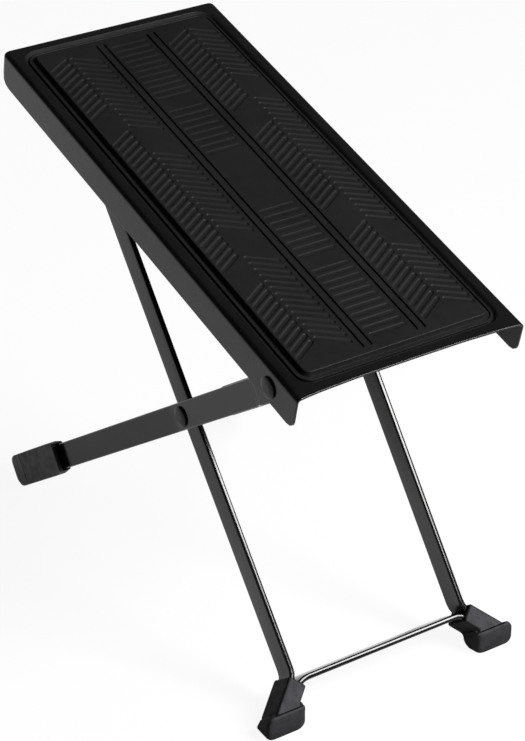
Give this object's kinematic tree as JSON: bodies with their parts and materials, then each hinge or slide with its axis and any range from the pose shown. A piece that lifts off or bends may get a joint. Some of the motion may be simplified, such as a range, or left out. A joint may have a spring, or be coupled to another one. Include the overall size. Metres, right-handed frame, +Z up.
{
  "type": "folding footrest",
  "caption": "Folding X-leg footrest with a sloping padded sheet-steel plate, crossed flat-bar legs, a notched height rack and moulded rubber feet.",
  "frame": {"origin": "on the floor, at the centre of the footrest's footprint box", "axes": "+Z up; +X along the footplate toward its low near end; +Y to the right across it, seen from the far end"},
  "size_m": [0.2843, 0.1476, 0.2592],
  "materials": {
    "footplate": "satin black enamel on steel",
    "rubber_pad": "moulded black rubber with a raised tread",
    "rack_left": "satin black enamel on steel",
    "rack_right": "satin black enamel on steel",
    "front_leg_frame": "satin black enamel on steel",
    "lock_rod": "satin black enamel on steel",
    "front_foot_left": "moulded black rubber, satin",
    "front_foot_right": "moulded black rubber, satin",
    "rear_leg_left": "satin black enamel on steel",
    "rear_leg_right": "satin black enamel on steel",
    "rear_cap_left": "moulded black rubber, satin",
    "rear_cap_right": "moulded black rubber, satin",
    "pivot_rivet_left": "satin black enamel on steel",
    "pivot_rivet_right": "satin black enamel on steel",
    "cross_rivet_left": "satin black enamel on steel",
    "cross_rivet_right": "satin black enamel on steel"
  },
  "bodies": {
    "front_frame": {"front_leg_frame": "front_leg_frame", "lock_rod": "lock_rod", "front_foot_left": "front_foot_left", "front_foot_right": "front_foot_right"},
    "rear_legs": {"rear_leg_left": "rear_leg_left", "rear_leg_right": "rear_leg_right", "rear_cap_left": "rear_cap_left", "rear_cap_right": "rear_cap_right", "cross_rivet_left": "cross_rivet_left", "cross_rivet_right": "cross_rivet_right"},
    "plate": {"footplate": "footplate", "rubber_pad": "rubber_pad", "rack_left": "rack_left", "rack_right": "rack_right", "pivot_rivet_left": "pivot_rivet_left", "pivot_rivet_right": "pivot_rivet_right"}
  },
  "joints": [
    {"name": "fold", "type": "hinge", "parent": "front_frame", "child": "rear_legs", "pos_m": [0.0285, 0, 0.124], "axis": [0, 1, 0], "range_deg": [0, 75]},
    {"name": "plate_turn", "type": "hinge", "parent": "rear_legs", "child": "plate", "pos_m": [0.11849, 0, 0.18898], "axis": [0, -1, 0], "range_deg": [0, 42.5]}
  ],
  "couplings": [
    {"joint": "plate_turn", "follows": "fold", "ratio": 0.5665}
  ]
}
